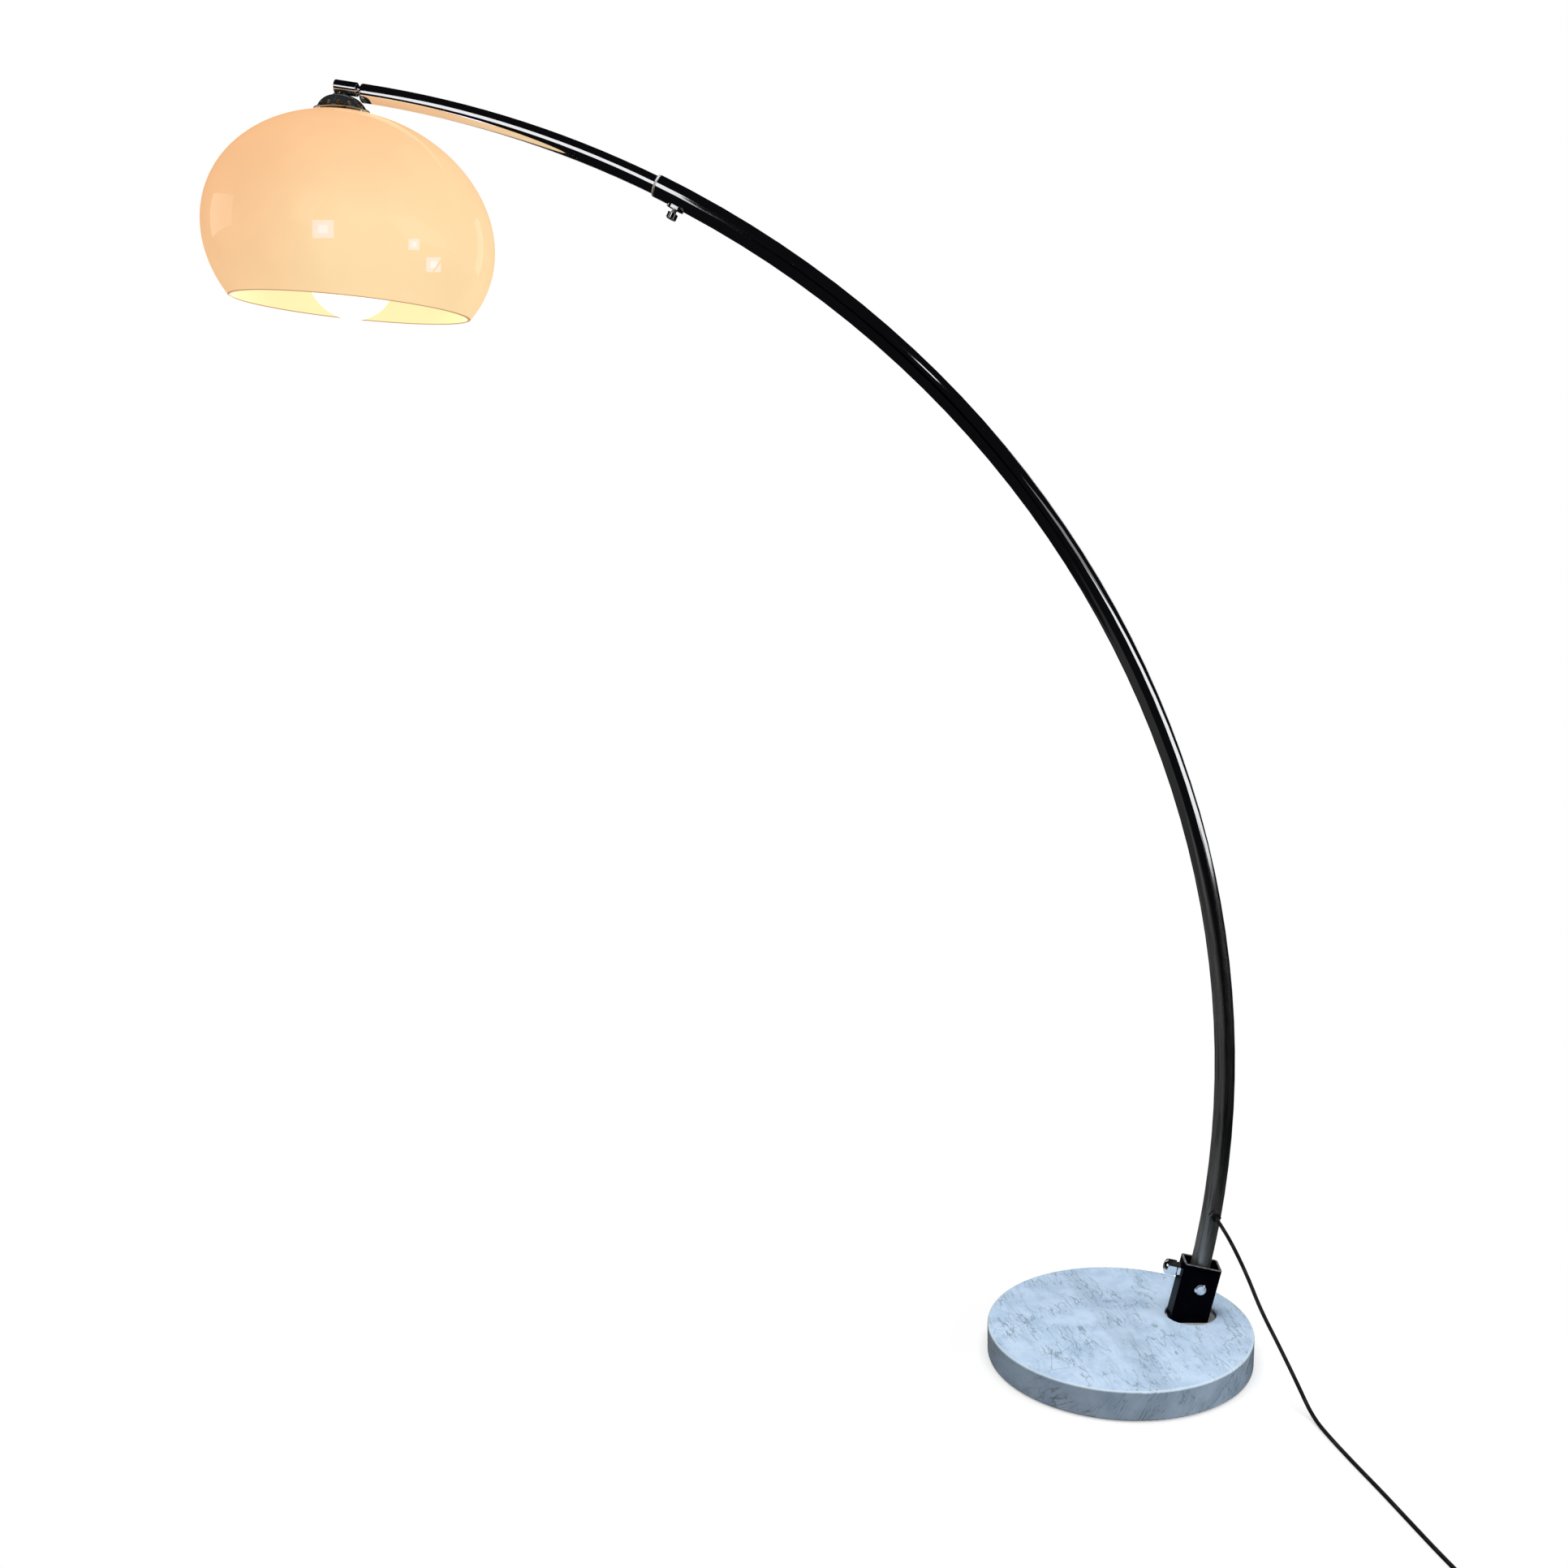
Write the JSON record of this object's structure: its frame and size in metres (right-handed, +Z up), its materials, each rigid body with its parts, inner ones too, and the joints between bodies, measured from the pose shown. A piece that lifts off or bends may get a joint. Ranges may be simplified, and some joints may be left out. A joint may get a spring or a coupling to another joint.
{
  "type": "arc floor lamp",
  "caption": "Arc floor lamp: a telescopic chromed bow leans from a round marble base and carries an open globe shade with a vented cap over a globe bulb.",
  "frame": {"origin": "centre of the round base's underside, on the floor", "axes": "+Z up; the shade hangs towards -X and the bow's plane is parallel to XZ"},
  "size_m": [1.4009, 0.7938, 1.6098],
  "materials": {
    "marble": "polished",
    "felt": "matte",
    "steel": "satin",
    "black_enamel": "gloss",
    "cap_enamel": "gloss",
    "chrome": "polished",
    "nylon": "satin",
    "black_plastic": "satin",
    "cord_sheath": "satin",
    "tie": "matte",
    "brass": "satin",
    "acrylic": "translucent gloss",
    "opal_glass": "opal"
  },
  "bodies": {
    "base": {"felt_pad": "felt", "marble_base": "marble", "hub_flange": "steel", "flange_screws": "steel", "slip_washer": "nylon", "cord_lower": "cord_sheath", "cord_coil": "cord_sheath", "cord_tie": "tie", "plug_body": "black_plastic", "plug_pins": "brass"},
    "socket": {"turntable": "steel", "swivel_bolt": "steel", "swivel_washer": "steel", "swivel_nut": "steel", "socket_box": "black_enamel", "pivot_pin": "chrome", "pivot_clip": "chrome", "pivot_spacers": "nylon", "tilt_lock_nut": "chrome", "cord_upper": "cord_sheath"},
    "tilt_screw": {"tilt_screw": "chrome"},
    "arm": {"outer_tube": "chrome", "cord_gland": "black_plastic", "guide_sleeve": "chrome", "clamp_boss": "chrome"},
    "clamp_screw": {"clamp_screw": "chrome"},
    "bow_end": {"inner_tube": "chrome", "tail_bush": "nylon", "tip_plug": "chrome"},
    "head": {"head_barrel": "chrome", "head_nipple": "brass", "cap_collar": "cap_enamel", "vented_cap": "cap_enamel", "shade": "acrylic", "seat_plate": "steel", "seat_nut": "steel", "holder_cap": "black_plastic", "holder_body": "black_plastic", "bulb_cap": "brass", "bulb_glass": "opal_glass"}
  },
  "joints": [
    {"name": "base_swivel", "type": "hinge", "parent": "base", "child": "socket", "pos_m": [0.09986, 0.03245, 0.0415], "axis": [0, 0, 1], "range_deg": [-27, 63], "deforming": ["cord_lower"]},
    {"name": "arm_tilt", "type": "hinge", "parent": "socket", "child": "arm", "pos_m": [0.10898, 0.03245, 0.08443], "axis": [0, 1, 0], "range_deg": [-4, 4], "deforming": ["cord_upper"]},
    {"name": "tilt_screw_slide", "type": "slide", "parent": "socket", "child": "tilt_screw", "axis": [-0.9758, 0, 0.2188], "range_m": [-0.00105, 0.00105]},
    {"name": "arm_extend", "type": "hinge", "parent": "arm", "child": "bow_end", "pos_m": [-1.11649, 0.03245, 0.35925], "axis": [0, -1, 0], "range_deg": [-13.5, 5]},
    {"name": "clamp_turn", "type": "hinge", "parent": "arm", "child": "clamp_screw", "pos_m": [-0.53425, 0.03245, 1.46808], "axis": [-0.4649, 0, -0.8854], "range_deg": [0, 540]},
    {"name": "head_turn", "type": "hinge", "parent": "bow_end", "child": "head", "pos_m": [-0.90326, 0.03245, 1.59641], "axis": [-0.9855, 0, 0.1698], "range_deg": [-70, 70]}
  ],
  "couplings": [
    {"joint": "tilt_screw_slide", "follows": "arm_tilt", "m_per_rad": -0.015}
  ]
}
